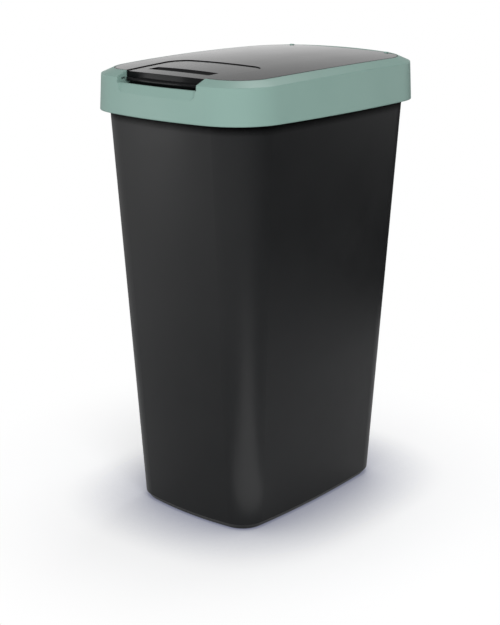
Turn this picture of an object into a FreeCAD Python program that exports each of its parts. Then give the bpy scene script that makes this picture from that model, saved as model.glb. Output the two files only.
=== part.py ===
import FreeCAD, Part
import Sketcher
import math
import os

V = FreeCAD.Vector

# Sizes in millimetres.  Front is -Y, the bin stands on Z = 0.
SIZES = {
    # whole bin, and the outline of the frame's lower edge, bowed on all four sides
    "overall_height": 599.6,
    "rim_half_width": 145.0,
    "rim_half_depth": 200.5,
    "rim_corner": 72.0,
    "side_bow": 4.8,
    "end_bow": 5.25,
    # frame: band, walls and the crowned top that it shares with the lid
    "frame_height": 59.6,
    "frame_wall": 2.4,
    "frame_plate": 2.4,
    "band_draft": 3.6,
    "crown_back": 55.0,
    "crown_length_radius": 4545.0,
    "crown_width_radius": 2010.0,
    "blank_rise": 7.0,
    "bevel_land": 0.3,
    "bevel_drop": 5.7,
    "crease_round": 0.8,
    # lid seat, throat and moulding groove of the frame
    "seat_inset": 19.2,
    "seat_depth": 17.0,
    "seat_ledge": 6.0,
    "throat_depth": 27.6,
    "trough_width": 6.9,
    "core_inset": 10.0,
    "core_wall": 2.6,
    "core_height": 4.2,
    # finger notch in the front of the frame
    "notch_half_width": 66.0,
    "crest_drop": 3.5,
    "crest_inset": 6.0,
    "crest_thick": 2.4,
    "notch_depth": 7.0,
    "scoop_height": 13.1,
    "scoop_inset": 0.8,
    "scoop_corner": 6.0,
    "scoop_splay": 4.0,
    "block_height": 21.6,
    "block_wall": 3.0,
    # tapered body
    "body_inset": 10.0,
    "base_height": 8.0,
    "base_half_width": 106.0,
    "base_half_depth": 151.4,
    "base_corner": 37.2,
    "body_wall": 2.5,
    "floor_thick": 3.0,
    "floor_bevel": 2.4,
    "foot_inset": 6.5,
    "foot_ring": 12.0,
    "foot_recess": 4.0,
    "foot_rib_wall": 2.4,
    "foot_rib_gap": 1.2,
    "foot_rib_pitch": 62.0,
    "flange_thick": 2.6,
    "flange_clearance": 0.7,
    "flange_gap": 0.3,
    "lip_wall": 2.0,
    "lip_height": 11.0,
    "dip_clearance": 3.0,
    # lid
    "lid_gap": 0.9,
    "lid_wall": 2.4,
    "lid_skin": 2.6,
    "lid_edge_round": 0.9,
    "lid_lift": 0.4,
    "rib_wall": 2.0,
    "rib_depth": 10.6,
    "rib_pitch": 62.0,
    "rib_inset": 28.5,
    "panel_sink": 1.0,
    "panel_flare": 12.0,
    "panel_depth": 109.0,
    "panel_corner": 24.0,
    "groove_inset": 54.0,
    "groove_end": 15.0,
    "groove_radius": 16.5,
    "groove_depth": 3.6,
    "skirt_clearance": 5.0,
    "skirt_lift": 0.6,
    "grip_reach": 6.0,
    "grip_thick": 4.4,
    "grip_drop": 14.7,
    "grip_round": 1.6,
    # hinge
    "hinge_land": 7.3,
    "hinge_gap": 0.9,
    "barrel_radius": 4.6,
    "barrel_proud": 0.12,
    "barrel_inset": 66.0,
    "ear_thick": 5.0,
    "ear_radius": 4.0,
    "ear_clearance": 0.5,
    "pin_radius": 2.0,
    "pin_length": 34.0,
    "pin_end": 0.5,
    "pin_chamfer": 0.4,
    "pin_press_gap": 0.02,
    "pin_running_gap": 0.08,
    # reach of every cut beyond the solid that it cuts
    "overrun": 6.0,
}

# The crown is swept through this angle, enough to pass over the whole frame.
CROWN_SWEEP = 16.0
HALF_SHARE = 0.5
SKIN_SHARE = 0.25
ROUND_SHARE = 0.45

doc = FreeCAD.newDocument("trash_can")
sheet = doc.addObject("Spreadsheet::Sheet", "Sizes")
for row, (alias, number) in enumerate(SIZES.items(), start=1):
    sheet.set("A%d" % row, alias.replace("_", " "))
    sheet.set("B%d" % row, str(number))
    sheet.setAlias("B%d" % row, alias)
doc.recompute()


class Size:
    """A length of the sheet, or a sum of them, with the expression that gives it."""

    def __init__(self, value, text):
        self.value = value
        self.text = text

    def __add__(self, other):
        return Size(self.value + other.value, "(%s + %s)" % (self.text, other.text))

    def __sub__(self, other):
        return Size(self.value - other.value, "(%s - %s)" % (self.text, other.text))

    def __mul__(self, other):
        return Size(self.value * other.value, "(%s * %s)" % (self.text, other.text))

    def __truediv__(self, other):
        return Size(self.value / other.value, "(%s / %s)" % (self.text, other.text))

    def __neg__(self):
        return Size(-self.value, "(-1 * %s)" % self.text)


def size(alias):
    return Size(float(sheet.get(alias)), "Sizes." + alias)


def share(part):
    return Size(part, repr(part))


class Outline:
    """Rounded rectangle whose four sides are bowed outwards, made of eight tangent arcs."""

    def __init__(self, half_width, half_depth, corner):
        side_bow = size("side_bow")
        end_bow = size("end_bow")
        half_side = half_depth - corner
        half_end = half_width - corner
        two = share(2)
        self.half_width = half_width
        self.half_depth = half_depth
        self.corner = corner
        self.side = (half_side * half_side + side_bow * side_bow) / (two * side_bow)
        self.end = (half_end * half_end + end_bow * end_bow) / (two * end_bow)

    def corner_centre(self):
        """Centre of the corner arc on the side of +X and +Y."""
        side_x = self.half_width.value - self.side.value
        end_y = self.half_depth.value - self.end.value
        from_side = self.side.value - self.corner.value
        from_end = self.end.value - self.corner.value
        span = math.hypot(side_x, end_y)
        along = (from_side ** 2 - from_end ** 2 + span ** 2) / (2 * span)
        away = math.sqrt(from_side ** 2 - along ** 2)
        ux, uy = -side_x / span, end_y / span
        return side_x + along * ux - away * uy, along * uy + away * ux


def origin_plane(body, role):
    for feature in body.Origin.OriginFeatures:
        if feature.Role == role:
            return feature


def new_body(name):
    return doc.addObject("PartDesign::Body", name)


def new_sketch(body, name, role, place):
    """Sketch on an origin plane of its own body, moved along the plane's normal."""
    made = body.newObject("Sketcher::SketchObject", name)
    made.AttachmentSupport = [(origin_plane(body, role), "")]
    made.MapMode = "FlatFace"
    if place is not None:
        made.setExpression("AttachmentOffset.Base.z", place.text)
    return made


def dimension(made, kind, point, length):
    """Distance of a point from the sketch's origin, bound to the sheet."""
    first, second = (-1, 1), point
    value, text = length.value, length.text
    if value < 0:
        first, second = second, first
        value, text = -value, "-1 * %s" % text
    limit = Sketcher.Constraint(kind, first[0], first[1], second[0], second[1], value)
    index = made.addConstraint(limit)
    made.setExpression("Constraints[%d]" % index, text)


def radius(made, curve, length):
    index = made.addConstraint(Sketcher.Constraint("Radius", curve, length.value))
    made.setExpression("Constraints[%d]" % index, length.text)


def rule(made, *words):
    made.addConstraint(Sketcher.Constraint(*words))


def centre_on_x_axis(made, curve):
    rule(made, "PointOnObject", curve, 3, -1)


def centre_on_y_axis(made, curve):
    rule(made, "PointOnObject", curve, 3, -2)


def arc(made, x, y, reach, start, stop):
    circle = Part.Circle(V(x, y, 0), V(0, 0, 1), reach)
    return made.addGeometry(Part.ArcOfCircle(circle, start, stop), False)


def line(made, x0, y0, x1, y1, helper=False):
    return made.addGeometry(Part.LineSegment(V(x0, y0, 0), V(x1, y1, 0)), helper)


def polygon(made, corners):
    """Closed polygon whose corners are pairs of lengths."""
    count = len(corners)
    lines = []
    for k in range(count):
        across, up = corners[k]
        next_across, next_up = corners[(k + 1) % count]
        lines.append(line(made, across.value, up.value, next_across.value, next_up.value))
    for k in range(count):
        rule(made, "Coincident", lines[k], 2, lines[(k + 1) % count], 1)
    for k, (across, up) in enumerate(corners):
        dimension(made, "DistanceX", (lines[k], 1), across)
        dimension(made, "DistanceY", (lines[k], 1), up)


def circle(made, across, up, reach):
    shape = Part.Circle(V(across.value, up.value, 0), V(0, 0, 1), reach.value)
    curve = made.addGeometry(shape, False)
    dimension(made, "DistanceX", (curve, 3), across)
    dimension(made, "DistanceY", (curve, 3), up)
    radius(made, curve, reach)


def full_outline(made, shape, inset):
    """Eight tangent arcs, all moved inwards by the inset."""
    cx, cy = shape.corner_centre()
    sx = shape.half_width.value - shape.side.value
    ey = shape.half_depth.value - shape.end.value
    side = shape.side - inset
    end = shape.end - inset
    corner = shape.corner - inset
    low = math.atan2(cy, cx - sx)
    high = math.atan2(cy - ey, cx)
    half, whole = math.pi / 2, math.pi
    right = arc(made, sx, 0, side.value, -low, low)
    corner_a = arc(made, cx, cy, corner.value, low, high)
    back = arc(made, 0, ey, end.value, high, whole - high)
    corner_b = arc(made, -cx, cy, corner.value, whole - high, whole - low)
    left = arc(made, -sx, 0, side.value, whole - low, whole + low)
    corner_c = arc(made, -cx, -cy, corner.value, whole + low, whole + high)
    front = arc(made, 0, -ey, end.value, whole + high, 3 * half + half - high)
    corner_d = arc(made, cx, -cy, corner.value, -high, -low)
    ring = [right, corner_a, back, corner_b, left, corner_c, front, corner_d]
    for k in range(len(ring)):
        rule(made, "Tangent", ring[k], 2, ring[(k + 1) % len(ring)], 1)
    for curve in (right, left):
        centre_on_x_axis(made, curve)
    for curve in (front, back):
        centre_on_y_axis(made, curve)
    dimension(made, "DistanceX", (right, 3), shape.half_width - shape.side)
    dimension(made, "DistanceX", (left, 3), shape.side - shape.half_width)
    dimension(made, "DistanceY", (back, 3), shape.half_depth - shape.end)
    dimension(made, "DistanceY", (front, 3), shape.end - shape.half_depth)
    rule(made, "Equal", right, left)
    rule(made, "Equal", front, back)
    for curve in (corner_b, corner_c, corner_d):
        rule(made, "Equal", corner_a, curve)
    radius(made, right, side)
    radius(made, back, end)
    radius(made, corner_a, corner)


def straight_back(made, shape, inset, back_edge):
    """The same outline with its back cut off along a straight line."""
    cx, cy = shape.corner_centre()
    sx = shape.half_width.value - shape.side.value
    ey = shape.half_depth.value - shape.end.value
    side = shape.side - inset
    end = shape.end - inset
    corner = shape.corner - inset
    low = math.atan2(cy, cx - sx)
    high = math.atan2(cy - ey, cx)
    cut = math.asin((back_edge.value - cy) / corner.value)
    bx = cx + corner.value * math.cos(cut)
    by = back_edge.value
    half, whole = math.pi / 2, math.pi
    right = arc(made, sx, 0, side.value, -low, low)
    corner_a = arc(made, cx, cy, corner.value, low, cut)
    back = line(made, bx, by, -bx, by)
    corner_b = arc(made, -cx, cy, corner.value, whole - cut, whole - low)
    left = arc(made, -sx, 0, side.value, whole - low, whole + low)
    corner_c = arc(made, -cx, -cy, corner.value, whole + low, whole + high)
    front = arc(made, 0, -ey, end.value, whole + high, 3 * half + half - high)
    corner_d = arc(made, cx, -cy, corner.value, -high, -low)
    rule(made, "Tangent", right, 2, corner_a, 1)
    rule(made, "Coincident", corner_a, 2, back, 1)
    rule(made, "Coincident", back, 2, corner_b, 1)
    rule(made, "Tangent", corner_b, 2, left, 1)
    rule(made, "Tangent", left, 2, corner_c, 1)
    rule(made, "Tangent", corner_c, 2, front, 1)
    rule(made, "Tangent", front, 2, corner_d, 1)
    rule(made, "Tangent", corner_d, 2, right, 1)
    for curve in (right, left):
        centre_on_x_axis(made, curve)
    centre_on_y_axis(made, front)
    dimension(made, "DistanceX", (right, 3), shape.half_width - shape.side)
    dimension(made, "DistanceX", (left, 3), shape.side - shape.half_width)
    dimension(made, "DistanceY", (front, 3), shape.end - shape.half_depth)
    rule(made, "Equal", right, left)
    for curve in (corner_b, corner_c, corner_d):
        rule(made, "Equal", corner_a, curve)
    rule(made, "Vertical", corner_a, 3, corner_d, 3)
    rule(made, "Vertical", corner_b, 3, corner_c, 3)
    rule(made, "Horizontal", back)
    dimension(made, "DistanceY", (back, 1), back_edge)
    radius(made, right, side)
    radius(made, front, end)
    radius(made, corner_a, corner)


def front_patch(made, shape, outer, inner, half, splay=None):
    """Piece of the front between two insets of the outline, splayed out from back to front."""
    ey = shape.half_depth.value - shape.end.value
    far = shape.end - outer
    near = shape.end - inner
    far_half = half + splay if splay else half
    near_half = half - splay if splay else half
    turn = 3 * math.pi / 2
    far_turn = math.asin(far_half.value / far.value)
    near_turn = math.asin(near_half.value / near.value)
    front = arc(made, 0, -ey, far.value, turn - far_turn, turn + far_turn)
    back = arc(made, 0, -ey, near.value, turn - near_turn, turn + near_turn)
    far_y = -ey - far.value * math.cos(far_turn)
    near_y = -ey - near.value * math.cos(near_turn)
    right = line(made, far_half.value, far_y, near_half.value, near_y)
    left = line(made, -near_half.value, near_y, -far_half.value, far_y)
    rule(made, "Coincident", front, 2, right, 1)
    rule(made, "Coincident", right, 2, back, 2)
    rule(made, "Coincident", back, 1, left, 1)
    rule(made, "Coincident", left, 2, front, 1)
    centre_on_y_axis(made, front)
    rule(made, "Coincident", front, 3, back, 3)
    dimension(made, "DistanceY", (front, 3), shape.end - shape.half_depth)
    dimension(made, "DistanceX", (right, 1), far_half)
    dimension(made, "DistanceX", (right, 2), near_half)
    dimension(made, "DistanceX", (left, 1), -near_half)
    dimension(made, "DistanceX", (left, 2), -far_half)
    radius(made, front, far)
    radius(made, back, near)


def loft(body, name, kind, sections):
    made = body.newObject("PartDesign::" + kind, name)
    made.Profile = sections[0]
    made.Sections = sections[1:]
    made.Ruled = True
    doc.recompute()
    return made


def extrude(body, name, kind, profile, length, reverse=False, both=False):
    made = body.newObject("PartDesign::" + kind, name)
    made.Profile = profile
    made.Reversed = reverse
    if both:
        made.SideType = "Symmetric"
    made.setExpression("Length", length.text)
    doc.recompute()
    return made


def mirror(body, name, originals):
    made = body.newObject("PartDesign::Mirrored", name)
    made.Originals = originals
    made.MirrorPlane = (origin_plane(body, "YZ_Plane"), [""])
    body.Tip = made
    doc.recompute()
    return made


def crown(body, name, sink, above):
    """Cut away what lies above, or below, the crowned surface sunk by the given length."""
    top = size("overall_height")
    width_radius = size("crown_width_radius")
    length_radius = size("crown_length_radius")
    over = size("rim_half_width") + size("overrun")
    edge = top + over if above else top - size("frame_height")
    made = new_sketch(body, name + "Profile", "XZ_Plane", -size("crown_back"))
    centre = top - sink - width_radius
    turn = math.asin(over.value / width_radius.value)
    quarter = math.pi / 2
    bow = arc(made, 0, centre.value, width_radius.value, quarter - turn, quarter + turn)
    low = centre.value + width_radius.value * math.cos(turn)
    x, y = over.value, edge.value
    left = line(made, -x, low, -x, y)
    flat = line(made, -x, y, x, y)
    right = line(made, x, y, x, low)
    rule(made, "Coincident", bow, 2, left, 1)
    rule(made, "Coincident", left, 2, flat, 1)
    rule(made, "Coincident", flat, 2, right, 1)
    rule(made, "Coincident", right, 2, bow, 1)
    centre_on_y_axis(made, bow)
    rule(made, "Vertical", left)
    rule(made, "Vertical", right)
    rule(made, "Horizontal", flat)
    dimension(made, "DistanceY", (bow, 3), centre)
    dimension(made, "DistanceX", (flat, 1), -over)
    dimension(made, "DistanceX", (flat, 2), over)
    dimension(made, "DistanceY", (flat, 1), edge)
    radius(made, bow, width_radius)
    pivot = top - sink - length_radius
    axis = line(made, -x, pivot.value, x, pivot.value, True)
    rule(made, "Horizontal", axis)
    dimension(made, "DistanceX", (axis, 1), -over)
    dimension(made, "DistanceX", (axis, 2), over)
    dimension(made, "DistanceY", (axis, 1), pivot)
    cut = body.newObject("PartDesign::Groove", name)
    cut.Profile = made
    cut.ReferenceAxis = (made, ["Axis0"])
    cut.Angle = CROWN_SWEEP
    cut.Midplane = True
    doc.recompute()
    return cut


def boolean_cut(body, name, tool):
    made = body.newObject("PartDesign::Boolean", name)
    made.Type = "Cut"
    made.setObjects([tool])
    doc.recompute()
    return made


def edges_where(feature, wanted):
    names = []
    for number, edge in enumerate(feature.Shape.Edges, start=1):
        if wanted(edge):
            names.append("Edge%d" % number)
    return names


nothing = size("overrun") - size("overrun")
overrun = size("overrun")
rim = Outline(size("rim_half_width"), size("rim_half_depth"), size("rim_corner"))
base_shape = Outline(size("base_half_width"), size("base_half_depth"), size("base_corner"))

crown_top = size("overall_height")
blank_top = crown_top + size("blank_rise")
frame_bottom = crown_top - size("frame_height")
frame_middle = (frame_bottom + crown_top) * share(HALF_SHARE)
frame_wall = size("frame_wall")
seat_inset = size("seat_inset")
seat_level = crown_top - size("seat_depth")
roof = seat_level - size("frame_plate")
band_slope = size("band_draft") / (blank_top - frame_bottom)
roof_inset = frame_wall + band_slope * (roof - frame_bottom)
notch_half = size("notch_half_width")
block_half = notch_half + size("block_wall")
block_bottom = seat_level - size("block_height")

# The hinge lies under the crown, as deep as the rolled edge of the lid is thick.
seat_back = size("rim_half_depth") - seat_inset - size("hinge_land")
barrel_radius = size("barrel_radius")
barrel_half = size("rim_half_width") - size("barrel_inset")
hinge_back = seat_back - barrel_radius - size("hinge_gap")
hinge_run = hinge_back - size("crown_back")
hinge_fall = hinge_run * hinge_run * share(HALF_SHARE) / size("crown_length_radius")
hinge_height = crown_top - hinge_fall - barrel_radius + size("barrel_proud")
throat_inset = seat_inset + size("seat_ledge")
throat_back = hinge_back - barrel_radius - size("trough_width")
throat_bottom = seat_level - size("throat_depth")

# The body: tapered walls with a bevelled foot, hollow, with a turned rim under the frame.
bin_body = new_body("bin_body")
foot_sketch = new_sketch(bin_body, "FootOutline", "XY_Plane", None)
full_outline(foot_sketch, base_shape, size("foot_inset"))
base_sketch = new_sketch(bin_body, "BaseOutline", "XY_Plane", size("base_height"))
full_outline(base_sketch, base_shape, nothing)
body_top = roof - size("flange_gap")
body_inset = size("body_inset")
body_wall = size("body_wall")
top_sketch = new_sketch(bin_body, "TopOutline", "XY_Plane", body_top)
full_outline(top_sketch, rim, body_inset)
loft(bin_body, "TaperedWalls", "AdditiveLoft", [foot_sketch, base_sketch, top_sketch])

floor_level = size("foot_recess") + size("floor_thick")
floor_sketch = new_sketch(bin_body, "FloorOutline", "XY_Plane", floor_level)
full_outline(floor_sketch, base_shape, body_wall + size("floor_bevel") * share(HALF_SHARE))
bend_level = floor_level + size("floor_bevel")
bend_sketch = new_sketch(bin_body, "BendOutline", "XY_Plane", bend_level)
full_outline(bend_sketch, base_shape, body_wall)
mouth_sketch = new_sketch(bin_body, "MouthOutline", "XY_Plane", body_top)
full_outline(mouth_sketch, rim, body_inset + body_wall)
loft(bin_body, "Hollow", "SubtractiveLoft", [floor_sketch, bend_sketch, mouth_sketch])

flange_inset = roof_inset + size("flange_clearance")
flange_sketch = new_sketch(bin_body, "FlangeRing", "XY_Plane", body_top)
full_outline(flange_sketch, rim, flange_inset)
full_outline(flange_sketch, rim, body_inset + body_wall * share(HALF_SHARE))
extrude(bin_body, "Flange", "Pad", flange_sketch, size("flange_thick"), reverse=True)
lip_sketch = new_sketch(bin_body, "LipRing", "XY_Plane", body_top)
full_outline(lip_sketch, rim, flange_inset)
full_outline(lip_sketch, rim, flange_inset + size("lip_wall"))
extrude(bin_body, "TurnedLip", "Pad", lip_sketch, size("lip_height"), reverse=True)

dip_half = block_half + size("dip_clearance")
dip_level = block_bottom - size("dip_clearance")
dip_sketch = new_sketch(bin_body, "DipProfile", "XZ_Plane", None)
polygon(dip_sketch, [
    (-dip_half, dip_level),
    (dip_half, dip_level),
    (dip_half, body_top + overrun),
    (-dip_half, body_top + overrun),
])
dip_reach = size("rim_half_depth") + overrun
extrude(bin_body, "FrontDip", "Pocket", dip_sketch, dip_reach, reverse=True)

recess_sketch = new_sketch(bin_body, "FootRecess", "XY_Plane", None)
full_outline(recess_sketch, base_shape, size("foot_inset") + size("foot_ring"))
extrude(bin_body, "Underside", "Pocket", recess_sketch, size("foot_recess"), reverse=True)
foot_rib_level = size("foot_rib_gap")
foot_rib_height = size("foot_recess") - foot_rib_level
foot_rib_half = size("foot_rib_wall") * share(HALF_SHARE)
foot_reach = size("foot_inset") + size("foot_ring") - overrun
foot_across = size("base_half_width") - foot_reach
foot_along = size("base_half_depth") - foot_reach
foot_ribs = new_sketch(bin_body, "FootRibs", "XY_Plane", foot_rib_level)
polygon(foot_ribs, [
    (-foot_rib_half, -foot_along),
    (foot_rib_half, -foot_along),
    (foot_rib_half, foot_along),
    (-foot_rib_half, foot_along),
])
extrude(bin_body, "FootRibLong", "Pad", foot_ribs, foot_rib_height)
pitch = size("foot_rib_pitch")
foot_cross = new_sketch(bin_body, "FootCrossRibs", "XY_Plane", foot_rib_level)
for place in (-pitch, nothing, pitch):
    polygon(foot_cross, [
        (-foot_across, place - foot_rib_half),
        (foot_across, place - foot_rib_half),
        (foot_across, place + foot_rib_half),
        (-foot_across, place + foot_rib_half),
    ])
extrude(bin_body, "FootRibsAcross", "Pad", foot_cross, foot_rib_height)

# The frame: a drafted band with a crowned, bevelled top, a lid seat and a throat for the bag.
bag_frame = new_body("bag_frame")
band_sketch = new_sketch(bag_frame, "BandOutline", "XY_Plane", frame_bottom)
full_outline(band_sketch, rim, nothing)
blank_sketch = new_sketch(bag_frame, "BlankOutline", "XY_Plane", blank_top)
full_outline(blank_sketch, rim, size("band_draft"))
loft(bag_frame, "Band", "AdditiveLoft", [band_sketch, blank_sketch])
crowned = crown(bag_frame, "CrownedTop", nothing, True)

bevel = bag_frame.newObject("PartDesign::Chamfer", "Bevel")
bevel.Base = (crowned, edges_where(crowned, lambda e: e.BoundBox.ZMin > frame_middle.value))
bevel.ChamferType = "Two distances"
bevel.setExpression("Size", "Sizes.bevel_drop")
bevel.setExpression("Size2", (seat_inset - size("band_draft") - size("bevel_land")).text)
doc.recompute()


def on_crease(edge):
    """True for the lower edges of the bevel, which lie well below the crown."""
    middle = edge.valueAt((edge.FirstParameter + edge.LastParameter) * HALF_SHARE)
    back = middle.y - size("crown_back").value
    fall = middle.x ** 2 / size("crown_width_radius").value + back ** 2 / size("crown_length_radius").value
    sink = crown_top.value - fall * HALF_SHARE - middle.z
    return edge.BoundBox.ZMin > frame_middle.value and sink > size("bevel_drop").value * HALF_SHARE


crease = bag_frame.newObject("PartDesign::Fillet", "Crease")
crease.Base = (bevel, edges_where(bevel, on_crease))
crease.setExpression("Radius", "Sizes.crease_round")
doc.recompute()

inside_low = new_sketch(bag_frame, "InsideLow", "XY_Plane", frame_bottom)
full_outline(inside_low, rim, frame_wall)
inside_high = new_sketch(bag_frame, "InsideHigh", "XY_Plane", roof)
full_outline(inside_high, rim, roof_inset)
loft(bag_frame, "Inside", "SubtractiveLoft", [inside_low, inside_high])

seat_sketch = new_sketch(bag_frame, "SeatOutline", "XY_Plane", blank_top)
straight_back(seat_sketch, rim, seat_inset, seat_back)
extrude(bag_frame, "LidSeat", "Pocket", seat_sketch, blank_top - seat_level)
throat_sketch = new_sketch(bag_frame, "ThroatOutline", "XY_Plane", seat_level)
straight_back(throat_sketch, rim, throat_inset, throat_back)
extrude(bag_frame, "Throat", "Pocket", throat_sketch, seat_level - frame_bottom)

skirt_sketch = new_sketch(bag_frame, "ThroatSkirt", "XY_Plane", throat_bottom)
straight_back(skirt_sketch, rim, throat_inset, throat_back)
straight_back(skirt_sketch, rim, throat_inset - frame_wall, throat_back + frame_wall)
extrude(bag_frame, "BagSkirt", "Pad", skirt_sketch, seat_level - throat_bottom)

core_sketch = new_sketch(bag_frame, "CoreRing", "XY_Plane", roof)
full_outline(core_sketch, rim, size("core_inset"))
full_outline(core_sketch, rim, seat_inset - size("core_wall"))
extrude(bag_frame, "CoreGroove", "Pocket", core_sketch, size("core_height"), reverse=True)

block_sketch = new_sketch(bag_frame, "ScoopBlock", "XY_Plane", block_bottom)
block_skin = band_slope * (seat_level - frame_bottom) + frame_wall * share(SKIN_SHARE)
front_patch(block_sketch, rim, block_skin, throat_inset, block_half)
extrude(bag_frame, "Block", "Pad", block_sketch, seat_level - block_bottom)

notch_crest = seat_level - size("crest_drop")
notch_floor = notch_crest - size("notch_depth")
scoop_bottom = notch_crest - size("scoop_height")
scoop_inset = size("scoop_inset")
scoop_corner = size("scoop_corner")
splay = size("scoop_splay")
crest_inset = size("crest_inset")
scoop_low = new_sketch(bag_frame, "ScoopLow", "XY_Plane", scoop_bottom)
front_patch(scoop_low, rim, -overrun, scoop_inset, notch_half - scoop_corner, splay)
scoop_slope = (crest_inset - scoop_inset) / size("scoop_height")
scoop_mid = new_sketch(bag_frame, "ScoopMid", "XY_Plane", scoop_bottom + scoop_corner)
front_patch(scoop_mid, rim, -overrun, scoop_inset + scoop_slope * scoop_corner, notch_half, splay)
scoop_high = new_sketch(bag_frame, "ScoopHigh", "XY_Plane", notch_crest)
front_patch(scoop_high, rim, -overrun, crest_inset, notch_half, splay)
loft(bag_frame, "Scoop", "SubtractiveLoft", [scoop_low, scoop_mid, scoop_high])

notch_sketch = new_sketch(bag_frame, "NotchOutline", "XY_Plane", blank_top)
front_patch(notch_sketch, rim, -overrun, throat_inset + overrun, notch_half)
extrude(bag_frame, "Notch", "Pocket", notch_sketch, blank_top - notch_crest)
crest_back = crest_inset + size("crest_thick")
floor_patch = new_sketch(bag_frame, "NotchFloor", "XY_Plane", notch_crest)
front_patch(floor_patch, rim, crest_back, throat_inset + overrun, notch_half)
extrude(bag_frame, "FloorCut", "Pocket", floor_patch, size("notch_depth"))

hollow_low = new_sketch(bag_frame, "HollowLow", "XY_Plane", block_bottom)
hollow_high = new_sketch(bag_frame, "HollowHigh", "XY_Plane", notch_floor - size("frame_plate"))
low_skin = band_slope * (block_bottom - frame_bottom) + frame_wall
hollow_inner = throat_inset - frame_wall
hollow_half = notch_half - size("block_wall")
front_patch(hollow_low, rim, low_skin, hollow_inner, hollow_half)
front_patch(hollow_high, rim, crest_inset, hollow_inner, hollow_half)
loft(bag_frame, "BlockHollow", "SubtractiveLoft", [hollow_low, hollow_high])

ear_side = barrel_half + size("ear_clearance")
ear_sketch = new_sketch(bag_frame, "EarProfile", "YZ_Plane", ear_side)
ear_radius = size("ear_radius")
ear_front = hinge_back - ear_radius
ear_rear = hinge_back + ear_radius
ear_top = arc(ear_sketch, hinge_back.value, hinge_height.value, ear_radius.value, 0, math.pi)
ear_left = line(ear_sketch, ear_front.value, hinge_height.value, ear_front.value, roof.value)
ear_flat = line(ear_sketch, ear_front.value, roof.value, ear_rear.value, roof.value)
ear_right = line(ear_sketch, ear_rear.value, roof.value, ear_rear.value, hinge_height.value)
rule(ear_sketch, "Tangent", ear_top, 2, ear_left, 1)
rule(ear_sketch, "Coincident", ear_left, 2, ear_flat, 1)
rule(ear_sketch, "Coincident", ear_flat, 2, ear_right, 1)
rule(ear_sketch, "Tangent", ear_right, 2, ear_top, 1)
rule(ear_sketch, "Vertical", ear_left)
rule(ear_sketch, "Horizontal", ear_flat)
dimension(ear_sketch, "DistanceX", (ear_top, 3), hinge_back)
dimension(ear_sketch, "DistanceY", (ear_top, 3), hinge_height)
dimension(ear_sketch, "DistanceY", (ear_flat, 1), roof)
radius(ear_sketch, ear_top, ear_radius)
circle(ear_sketch, hinge_back, hinge_height, size("pin_radius") + size("pin_running_gap"))
ear = extrude(bag_frame, "HingeEar", "Pad", ear_sketch, size("ear_thick"))
mirror(bag_frame, "HingeEars", [ear])

# The lid: crowned shell with a rolled back edge, a sunken thumb panel and a grip.
lid_inset = seat_inset + size("lid_gap")
lid_bottom = seat_level + size("lid_lift")
lid_wall = size("lid_wall")
lid_skin = size("lid_skin")
core_front = lid_inset + lid_wall
core_back = hinge_back - barrel_radius - lid_wall
panel_front = -size("rim_half_depth")
panel_rear = panel_front + seat_inset + size("panel_depth")
panel_middle = (panel_front + panel_rear) * share(HALF_SHARE)


def panel_cutter(name, grow, sink):
    """Block that stands on the sunken thumb panel, grown sideways and lowered."""
    body = new_body(name)
    outline = new_sketch(body, "PanelOutline", "XY_Plane", seat_level)
    front_half = notch_half + grow
    rear_half = notch_half + size("panel_flare") + grow
    polygon(outline, [
        (-front_half, panel_front),
        (front_half, panel_front),
        (rear_half, panel_rear + grow),
        (-rear_half, panel_rear + grow),
    ])
    blank = extrude(body, "PanelBlank", "Pad", outline, blank_top - seat_level)
    corners = body.newObject("PartDesign::Fillet", "PanelCorners")
    corners.Base = (blank, edges_where(
        blank,
        lambda e: e.BoundBox.ZLength > overrun.value and e.BoundBox.YMin > panel_middle.value))
    corners.setExpression("Radius", "Sizes.panel_corner")
    doc.recompute()
    crown(body, "PanelCrown", sink, False)
    return body


def groove_cutter(body, name, grow):
    """Round bar laid across the thumb panel, thickened and lengthened by the given length."""
    place = size("rim_half_depth") - size("groove_inset")
    run = place + size("crown_back")
    fall = run * run * share(HALF_SHARE) / size("crown_length_radius")
    reach = size("groove_radius")
    axis = crown_top - size("panel_sink") - fall + reach - size("groove_depth")
    profile = new_sketch(body, name + "Profile", "YZ_Plane", None)
    circle(profile, -place, axis, reach + grow)
    half_length = notch_half - size("groove_end") + grow
    extrude(body, name, "Pocket", profile, half_length + half_length, both=True)


lid_core = new_body("lid_core")
core_blank = new_sketch(lid_core, "CoreOutline", "XY_Plane", lid_bottom - overrun)
straight_back(core_blank, rim, core_front, core_back)
extrude(lid_core, "CoreBlank", "Pad", core_blank, blank_top - lid_bottom + overrun)
crown(lid_core, "CoreCrown", lid_skin, True)
backing = panel_cutter("panel_backing", lid_wall, size("panel_sink") + lid_skin)
boolean_cut(lid_core, "PanelBacking", backing)
groove_cutter(lid_core, "GrooveBacking", lid_skin)
rib_half = size("rib_wall") * share(HALF_SHARE)
rib_pitch = size("rib_pitch")
rib_rear = hinge_back - size("rib_inset")
rib_depth = size("blank_rise") + size("rib_depth")
rib_sketch = new_sketch(lid_core, "LongRibs", "XY_Plane", blank_top)
for place in (-rib_pitch, nothing, rib_pitch):
    polygon(rib_sketch, [
        (place - rib_half, panel_rear),
        (place + rib_half, panel_rear),
        (place + rib_half, rib_rear),
        (place - rib_half, rib_rear),
    ])
extrude(lid_core, "LongRibSlots", "Pocket", rib_sketch, rib_depth)
cross_sketch = new_sketch(lid_core, "CrossRibs", "XY_Plane", blank_top)
for place in (nothing, rib_rear * share(HALF_SHARE), rib_rear):
    polygon(cross_sketch, [
        (-barrel_half, place - rib_half),
        (barrel_half, place - rib_half),
        (barrel_half, place + rib_half),
        (-barrel_half, place + rib_half),
    ])
extrude(lid_core, "CrossRibSlots", "Pocket", cross_sketch, rib_depth)

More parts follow.
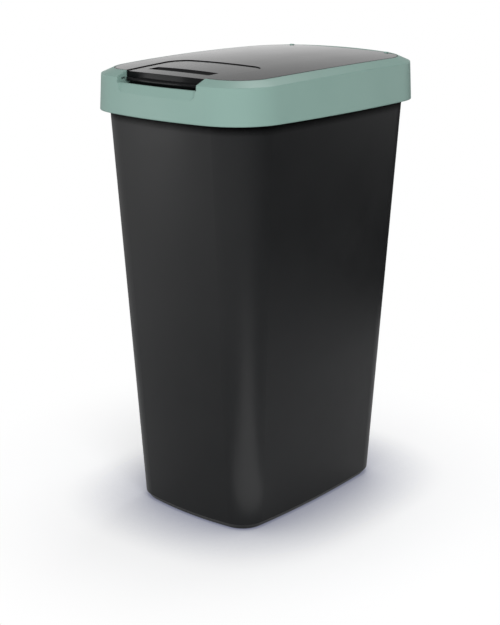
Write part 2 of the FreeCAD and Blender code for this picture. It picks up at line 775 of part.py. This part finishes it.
lid = new_body("lid")
lid_sketch = new_sketch(lid, "LidOutline", "XY_Plane", lid_bottom)
straight_back(lid_sketch, rim, lid_inset, hinge_back)
extrude(lid, "LidBlank", "Pad", lid_sketch, blank_top - lid_bottom)
barrel_sketch = new_sketch(lid, "BarrelProfile", "YZ_Plane", -barrel_half)
circle(barrel_sketch, hinge_back, hinge_height, barrel_radius)
extrude(lid, "Barrel", "Pad", barrel_sketch, barrel_half + barrel_half)
lid_crown = crown(lid, "LidCrown", nothing, True)


def on_lid_edge(edge):
    """True for the edges round the lid's top, save those of the rolled edge at its back."""
    box = edge.BoundBox
    return box.ZMin > (lid_bottom + lid_wall).value and box.YMin < (hinge_back - overrun).value


lid_round = lid.newObject("PartDesign::Fillet", "LidEdge")
lid_round.Base = (lid_crown, edges_where(lid_crown, on_lid_edge))
lid_round.setExpression("Radius", "Sizes.lid_edge_round")
doc.recompute()
boolean_cut(lid, "LidHollow", lid_core)
boolean_cut(lid, "ThumbPanel", panel_cutter("panel_tool", nothing, size("panel_sink")))
groove_cutter(lid, "FingerGroove", nothing)

skirt_half = notch_half - size("skirt_clearance")
skirt_bottom = notch_floor + size("skirt_lift")
grip_wall = new_sketch(lid, "GripWallOutline", "XY_Plane", skirt_bottom)
front_patch(grip_wall, rim, lid_inset, core_front, skirt_half)
extrude(lid, "GripWall", "Pad", grip_wall, lid_bottom - skirt_bottom + lid_wall)
grip_bar = new_sketch(lid, "GripBar", "XY_Plane", crown_top - size("grip_drop"))
front_patch(grip_bar, rim, lid_inset - size("grip_reach"), core_front, skirt_half)
grip = extrude(lid, "Grip", "Pad", grip_bar, size("grip_thick"), reverse=True)
grip_front = lid_inset - size("grip_reach") * share(HALF_SHARE) - size("rim_half_depth")
grip_round = lid.newObject("PartDesign::Fillet", "GripRound")
grip_round.Base = (grip, edges_where(
    grip,
    lambda e: e.BoundBox.XLength > skirt_half.value and e.BoundBox.YMin < grip_front.value))
grip_round.setExpression("Radius", "min(Sizes.grip_round; Sizes.grip_thick * %r)" % ROUND_SHARE)
doc.recompute()

corner_sketch = new_sketch(lid, "EarRoom", "XY_Plane", blank_top)
corner_front = hinge_back - ear_radius - size("ear_clearance")
corner_far = size("rim_half_width")
for near, far in ((barrel_half, corner_far), (-corner_far, -barrel_half)):
    polygon(corner_sketch, [
        (near, corner_front),
        (far, corner_front),
        (far, seat_back + overrun),
        (near, seat_back + overrun),
    ])
extrude(lid, "EarRoomCuts", "Pocket", corner_sketch, blank_top - seat_level)
bore_sketch = new_sketch(lid, "BoreProfile", "YZ_Plane", barrel_half)
bore_radius = size("pin_radius") + size("pin_press_gap")
circle(bore_sketch, hinge_back, hinge_height, bore_radius)
bore = extrude(lid, "PinBore", "Pocket", bore_sketch, size("pin_length"))
mirror(lid, "PinBores", [bore])


def hinge_pin(name, start):
    """Plain pin with chamfered ends, pushed into the lid's rolled edge from its end."""
    body = new_body(name)
    profile = new_sketch(body, "Profile", "YZ_Plane", start)
    circle(profile, hinge_back, hinge_height, size("pin_radius"))
    rod = extrude(body, "Rod", "Pad", profile, size("pin_length"))
    ends = body.newObject("PartDesign::Chamfer", "Ends")
    ends.Base = (rod, edges_where(rod, lambda e: e.BoundBox.XLength < size("pin_end").value))
    ends.setExpression("Size", "Sizes.pin_chamfer")
    doc.recompute()
    return body


pin_reach = ear_side + size("ear_thick") - size("pin_end")
pin_right = hinge_pin("hinge_pin_right", pin_reach - size("pin_length"))
pin_left = hinge_pin("hinge_pin_left", -pin_reach)

doc.recompute()
for thing in doc.Objects:
    if "Invalid" in thing.State or "Error" in thing.State:
        raise RuntimeError("%s did not build: %s" % (thing.Name, thing.State))

os.makedirs("parts", exist_ok=True)
for body in (bin_body, bag_frame, lid, pin_right, pin_left):
    shape = body.Shape
    if shape.isNull() or not shape.isValid():
        raise RuntimeError("%s has no valid shape" % body.Label)
    shape.exportStep("parts/%s.step" % body.Label)
    print(body.Label, len(shape.Solids), round(shape.Volume), shape.BoundBox)
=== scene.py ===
import math

import bpy
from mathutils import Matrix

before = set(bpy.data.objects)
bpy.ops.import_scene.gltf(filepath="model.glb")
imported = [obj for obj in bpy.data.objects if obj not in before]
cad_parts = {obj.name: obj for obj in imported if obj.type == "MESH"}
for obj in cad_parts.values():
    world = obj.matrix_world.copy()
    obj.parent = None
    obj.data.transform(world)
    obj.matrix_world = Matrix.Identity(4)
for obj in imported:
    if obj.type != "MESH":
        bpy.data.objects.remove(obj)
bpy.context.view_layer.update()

scene = bpy.context.scene
scene.view_settings.view_transform = "Standard"

WHITE = (1.0, 1.0, 1.0)

# Camera, fitted to the outlines in the photograph, with its principal point in the middle
IMAGE_HEIGHT_PX = 625
FOCAL_PX = 1360.18
SENSOR_MM = 36.0
CAMERA_AZIMUTH = 40.62
CAMERA_ELEVATION = 16.81
CAMERA_PLACE = (1.15693, -1.36831, 0.79237)
CAMERA_REACH = 60.0


def add_camera():
    camera = bpy.data.objects.new("camera", bpy.data.cameras.new("camera"))
    camera.data.sensor_width = SENSOR_MM
    camera.data.lens = FOCAL_PX * SENSOR_MM / IMAGE_HEIGHT_PX
    camera.data.clip_end = CAMERA_REACH
    camera.location = CAMERA_PLACE
    tilt = math.radians(90.0 - CAMERA_ELEVATION)
    camera.rotation_euler = (tilt, 0.0, math.radians(CAMERA_AZIMUTH))
    scene.collection.objects.link(camera)
    scene.camera = camera


class Nodes:
    """Short way to write a node tree."""

    # Places of the colour sockets among all sockets of a Mix node
    MIX_COLOURS = (6, 7)
    MIX_RESULT = 2
    # Most of a noise lies between these two values
    NOISE_LOW = 0.3
    NOISE_HIGH = 0.7

    def __init__(self, tree):
        self.tree = tree
        tree.nodes.clear()

    def add(self, kind, **settings):
        made = self.tree.nodes.new(kind)
        for name, value in settings.items():
            setattr(made, name, value)
        return made

    def link(self, source, target):
        self.tree.links.new(source, target)

    def noise(self, coordinates, scale, detail, roughness=0.5):
        made = self.add("ShaderNodeTexNoise")
        made.inputs["Scale"].default_value = scale
        made.inputs["Detail"].default_value = detail
        made.inputs["Roughness"].default_value = roughness
        self.link(coordinates, made.inputs["Vector"])
        return made.outputs["Fac"]

    def spread(self, value, low, high, start=NOISE_LOW, stop=NOISE_HIGH, curve="LINEAR"):
        """Low up to start, high from stop on, and even or smooth steps between them."""
        made = self.add("ShaderNodeMapRange", interpolation_type=curve)
        made.inputs["From Min"].default_value = start
        made.inputs["From Max"].default_value = stop
        made.inputs["To Min"].default_value = low
        made.inputs["To Max"].default_value = high
        self.link(value, made.inputs["Value"])
        return made.outputs["Result"]

    def math(self, operation, first, second=0.0):
        made = self.add("ShaderNodeMath", operation=operation)
        for socket, value in zip(made.inputs, (first, second)):
            if isinstance(value, (int, float)):
                socket.default_value = value
            else:
                self.link(value, socket)
        return made.outputs["Value"]

    def mix(self, factor, first, second):
        made = self.add("ShaderNodeMix", data_type="RGBA")
        self.link(factor, made.inputs["Factor"])
        for place, colour in zip(self.MIX_COLOURS, (first, second)):
            made.inputs[place].default_value = colour + (1.0,)
        return made.outputs[self.MIX_RESULT]

    def upward(self, vector):
        """The part of a vector that points up."""
        made = self.add("ShaderNodeSeparateXYZ")
        self.link(vector, made.inputs["Vector"])
        return made.outputs["Z"]

    def open_share(self, reach, depth, samples):
        """How open a place is: 1 where nothing is near, less beside other surfaces."""
        made = self.add("ShaderNodeAmbientOcclusion", samples=samples)
        made.inputs["Distance"].default_value = reach
        return self.math("POWER", made.outputs["AO"], depth)


# Moulded plastic: clouded pigment, uneven polish and a fine spark-eroded grain
CLOUD_SCALE = 7.0
CLOUD_DETAIL = 3.0
POLISH_SCALE = 23.0
POLISH_DETAIL = 4.0
POLISH_ROUGHNESS = 0.6
GRAIN_DETAIL = 2.0
EDGE_SAMPLES = 6

# Shade on the wall under the frame's overhang
SHADE_REACH = 0.018
SHADE_DEPTH = 16.0
SHADE_SAMPLES = 8

# Painted shade on the lid: faces that look up keep full gloss, and its edges keep only this share
# of it
EDGE_SHADE_SHARE = 0.25
EDGE_SHADE_START = 0.93
EDGE_SHADE_STOP = 0.99


def shade_under_frame(nodes, shader, place, colour, specular, shade_from):
    """Dims gloss and colour above the height shade_from, where the frame hangs over the wall."""
    near_rim = nodes.spread(nodes.upward(place), 0.0, 1.0, shade_from, shade_from + SHADE_REACH)
    depth = nodes.math("MULTIPLY", near_rim, SHADE_DEPTH)
    share = nodes.open_share(SHADE_REACH, depth, SHADE_SAMPLES)
    nodes.link(nodes.math("MULTIPLY", share, specular), shader.inputs["Specular IOR Level"])
    dimmed = nodes.add("ShaderNodeVectorMath", operation="SCALE")
    nodes.link(colour, dimmed.inputs[0])
    nodes.link(share, dimmed.inputs["Scale"])
    return dimmed.outputs["Vector"]


def paint_shade_on_lid_edges(nodes, shader, specular):
    """Painted shade: full gloss only on the faces that look up, dimmed gloss on the edges and
    steeper faces.
    """
    up = nodes.upward(nodes.add("ShaderNodeNewGeometry").outputs["Normal"])
    gloss = nodes.spread(up, EDGE_SHADE_SHARE * specular, specular, EDGE_SHADE_START, EDGE_SHADE_STOP)
    nodes.link(gloss, shader.inputs["Specular IOR Level"])


def moulded_plastic(name, pigment, roughness, grain_scale, grain_height, specular,
                    edge=0.0, shade_from=None, painted_edge_shade=False):
    """Material from two pigments and two roughnesses. Sharp corners look rounded by edge."""
    material = bpy.data.materials.new(name)
    material.use_nodes = True
    nodes = Nodes(material.node_tree)
    place = nodes.add("ShaderNodeTexCoord").outputs["Object"]
    out = nodes.add("ShaderNodeOutputMaterial")
    shader = nodes.add("ShaderNodeBsdfPrincipled")
    shader.inputs["Specular IOR Level"].default_value = specular
    cloud = nodes.noise(place, CLOUD_SCALE, CLOUD_DETAIL)
    colour = nodes.mix(nodes.spread(cloud, 0.0, 1.0), *pigment)
    if shade_from is not None:
        colour = shade_under_frame(nodes, shader, place, colour, specular, shade_from)
    # Painted shade: gloss is dimmed on the lid's edges and steep faces
    if painted_edge_shade:
        paint_shade_on_lid_edges(nodes, shader, specular)
    nodes.link(colour, shader.inputs["Base Color"])
    polish = nodes.noise(place, POLISH_SCALE, POLISH_DETAIL, POLISH_ROUGHNESS)
    nodes.link(nodes.spread(polish, *roughness), shader.inputs["Roughness"])
    bump = nodes.add("ShaderNodeBump")
    bump.inputs["Strength"].default_value = 1.0
    bump.inputs["Distance"].default_value = grain_height
    nodes.link(nodes.noise(place, grain_scale, GRAIN_DETAIL), bump.inputs["Height"])
    if edge:
        rounded = nodes.add("ShaderNodeBevel", samples=EDGE_SAMPLES)
        rounded.inputs["Radius"].default_value = edge
        nodes.link(rounded.outputs["Normal"], bump.inputs["Normal"])
    nodes.link(bump.outputs["Normal"], shader.inputs["Normal"])
    nodes.link(shader.outputs["BSDF"], out.inputs["Surface"])
    return material


def finish_nodes():
    """Gives each piece its plastic."""
    body_plastic = moulded_plastic(
        "body_black", pigment=((0.0052, 0.0056, 0.0062), (0.0068, 0.0072, 0.0078)),
        roughness=(0.34, 0.40), grain_scale=1400.0, grain_height=0.000010,
        specular=0.27, shade_from=0.50)
    frame_plastic = moulded_plastic(
        "frame_green", pigment=((0.200, 0.312, 0.277), (0.217, 0.333, 0.297)),
        roughness=(0.36, 0.43), grain_scale=1500.0, grain_height=0.000008,
        specular=0.24, edge=0.0026)
    # The lid's edges get painted shade through dimmed gloss
    lid_plastic = moulded_plastic(
        "lid_black", pigment=((0.0060, 0.0063, 0.0068), (0.0080, 0.0083, 0.0088)),
        roughness=(0.11, 0.14), grain_scale=1700.0, grain_height=0.000002,
        specular=0.20, painted_edge_shade=True)
    pin_plastic = moulded_plastic(
        "pin_black", pigment=((0.030, 0.030, 0.031), (0.042, 0.042, 0.043)),
        roughness=(0.40, 0.48), grain_scale=2600.0, grain_height=0.000004,
        specular=0.50)
    finishes = {
        "bin_body": body_plastic,
        "bag_frame": frame_plastic,
        "lid": lid_plastic,
        "hinge_pin_left": pin_plastic,
        "hinge_pin_right": pin_plastic,
    }
    for node, finish in finishes.items():
        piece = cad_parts[node]
        piece.data.materials.clear()
        piece.data.materials.append(finish)


# Floor: a pale round sheet with the lamps' shadow and a painted contact shadow near the bin, that
# fades to the white background
FLOOR_REACH = 0.80
FLOOR_SIDES = 96
FLOOR_COLOUR = (0.72, 0.724, 0.732)
# FLOOR_SHADE and LIFT_SHADE colour the painted contact shadow, and the CONTACT values size it
FLOOR_SHADE = (0.10, 0.110, 0.175)
FLOOR_LIFT = 0.38
LIFT_SHADE = (0.28, 0.300, 0.430)
FADE_START = 0.20
FADE_STOP = 0.50
CONTACT_REACH = 0.12
CONTACT_DEPTH = 1.7
CONTACT_SAMPLES = 12


def floor_paint():
    """Matt paint that the camera sees lifted towards white and darkened near the bin by a painted
    contact shadow, and white far from the bin.
    """
    material = bpy.data.materials.new("floor_white")
    material.use_nodes = True
    nodes = Nodes(material.node_tree)
    out = nodes.add("ShaderNodeOutputMaterial")
    seen = nodes.add("ShaderNodeLightPath").outputs["Is Camera Ray"]
    # Painted contact shadow near the bin, seen by the camera only
    contact = nodes.open_share(CONTACT_REACH, CONTACT_DEPTH, CONTACT_SAMPLES)
    openness = nodes.math("MAXIMUM", contact, nodes.math("SUBTRACT", 1.0, seen))

    matt = nodes.add("ShaderNodeBsdfDiffuse")
    nodes.link(nodes.mix(openness, FLOOR_SHADE, FLOOR_COLOUR), matt.inputs["Color"])
    lift = nodes.add("ShaderNodeEmission")
    nodes.link(nodes.mix(openness, LIFT_SHADE, WHITE), lift.inputs["Color"])
    nodes.link(nodes.math("MULTIPLY", seen, FLOOR_LIFT), lift.inputs["Strength"])
    lit = nodes.add("ShaderNodeAddShader")
    nodes.link(matt.outputs["BSDF"], lit.inputs[0])
    nodes.link(lift.outputs["Emission"], lit.inputs[1])

    backdrop = nodes.add("ShaderNodeEmission")
    backdrop.inputs["Color"].default_value = WHITE + (1.0,)
    backdrop.inputs["Strength"].default_value = 1.0
    distance = nodes.add("ShaderNodeVectorMath", operation="LENGTH")
    nodes.link(nodes.add("ShaderNodeTexCoord").outputs["Object"], distance.inputs[0])
    fade = nodes.spread(distance.outputs["Value"], 0.0, 1.0, FADE_START, FADE_STOP,
                        curve="SMOOTHSTEP")
    blend = nodes.add("ShaderNodeMixShader")
    nodes.link(nodes.math("MULTIPLY", fade, seen), blend.inputs["Fac"])
    nodes.link(lit.outputs["Shader"], blend.inputs[1])
    nodes.link(backdrop.outputs["Emission"], blend.inputs[2])
    nodes.link(blend.outputs["Shader"], out.inputs["Surface"])
    return material


def add_floor():
    turns = [math.tau * step / FLOOR_SIDES for step in range(FLOOR_SIDES)]
    corners = [(FLOOR_REACH * math.cos(turn), FLOOR_REACH * math.sin(turn), 0.0) for turn in turns]
    mesh = bpy.data.meshes.new("floor")
    mesh.from_pydata(corners, [], [tuple(range(FLOOR_SIDES))])
    mesh.materials.append(floor_paint())
    floor = bpy.data.objects.new("floor", mesh)
    scene.collection.objects.link(floor)


# World: white to the camera, and a studio that is bright at the front and dim behind as light.
# Gloss shows that studio light and not the white, as the part has no metal or glass.
WORLD_LIGHT = 0.45
WORLD_SLOPE = 0.45
BRIGHT_SIDE = (-0.15, -0.989, 0.0)
HORIZON_GLOW = 0.86
GLOW_HEIGHT = 0.56
GLOW_FALL = 1.5
GLOW_START = -0.08


def add_world():
    world = bpy.data.worlds.new("studio")
    scene.world = world
    world.use_nodes = True
    nodes = Nodes(world.node_tree)
    out = nodes.add("ShaderNodeOutputWorld")
    background = nodes.add("ShaderNodeBackground")
    background.inputs["Color"].default_value = WHITE + (1.0,)
    rays = nodes.add("ShaderNodeLightPath")
    seen = nodes.math("MAXIMUM", rays.outputs["Is Camera Ray"],
                      rays.outputs["Is Transmission Ray"])

    direction = nodes.add("ShaderNodeTexCoord").outputs["Generated"]
    facing = nodes.add("ShaderNodeVectorMath", operation="DOT_PRODUCT")
    nodes.link(direction, facing.inputs[0])
    facing.inputs[1].default_value = BRIGHT_SIDE
    dimmest = WORLD_LIGHT - WORLD_SLOPE
    brightest = WORLD_LIGHT + WORLD_SLOPE
    slope = nodes.spread(facing.outputs["Value"], dimmest, brightest, -1.0, 1.0)

    height = nodes.upward(direction)
    band = nodes.spread(nodes.math("ABSOLUTE", height), 1.0, 0.0, 0.0, GLOW_HEIGHT)
    glow = nodes.math("POWER", band, GLOW_FALL)
    glow = nodes.math("MULTIPLY", glow, nodes.spread(height, 0.0, HORIZON_GLOW, GLOW_START, 0.0))

    strength = nodes.add("ShaderNodeMix", data_type="FLOAT")
    nodes.link(seen, strength.inputs["Factor"])
    nodes.link(nodes.math("ADD", slope, glow), strength.inputs["A"])
    strength.inputs["B"].default_value = 1.0
    nodes.link(strength.outputs["Result"], background.inputs["Strength"])
    nodes.link(background.outputs["Background"], out.inputs["Surface"])


def softbox(name, place, aim, size, watts, mirrored=True):
    """Rectangular lamp, hidden from the camera and, unless it is mirrored, from gloss."""
    data = bpy.data.lights.new(name, "AREA")
    data.shape = "RECTANGLE"
    data.size, data.size_y = size
    data.energy = watts
    lamp = bpy.data.objects.new(name, data)
    lamp.location = place
    lamp.visible_camera = False
    lamp.visible_glossy = mirrored
    across, along, up = (end - start for end, start in zip(aim, place))
    tilt = math.atan2(math.hypot(across, along), -up)
    lamp.rotation_euler = (tilt, 0.0, math.atan2(-across, along))
    scene.collection.objects.link(lamp)


def add_lamps():
    middle = (0.0, 0.0, 0.40)
    softbox("overhead", place=(-0.2, 0.90, 2.3), aim=(0.0, 0.0, 0.0), size=(0.8, 0.8), watts=14.0)
    softbox("front_key", place=(-1.75, -1.95, 0.16), aim=middle, size=(0.8, 0.3), watts=5.0)
    softbox("right_fill", place=(2.15, -1.45, 1.30), aim=(0.0, 0.0, 0.30), size=(1.2, 1.2),
            watts=32.0, mirrored=False)
    softbox("back_fill", place=(1.3, 2.25, 0.50), aim=middle, size=(1.6, 0.9), watts=3.5)
    # A strip that lies on the floor, faces up and lights the lower front right corner
    softbox("corner_glow", place=(0.365, -0.273, 0.004), aim=(0.3527, -0.2675, 1.0),
            size=(0.26, 0.52), watts=0.50)


add_camera()
finish_nodes()
add_floor()
add_world()
add_lamps()
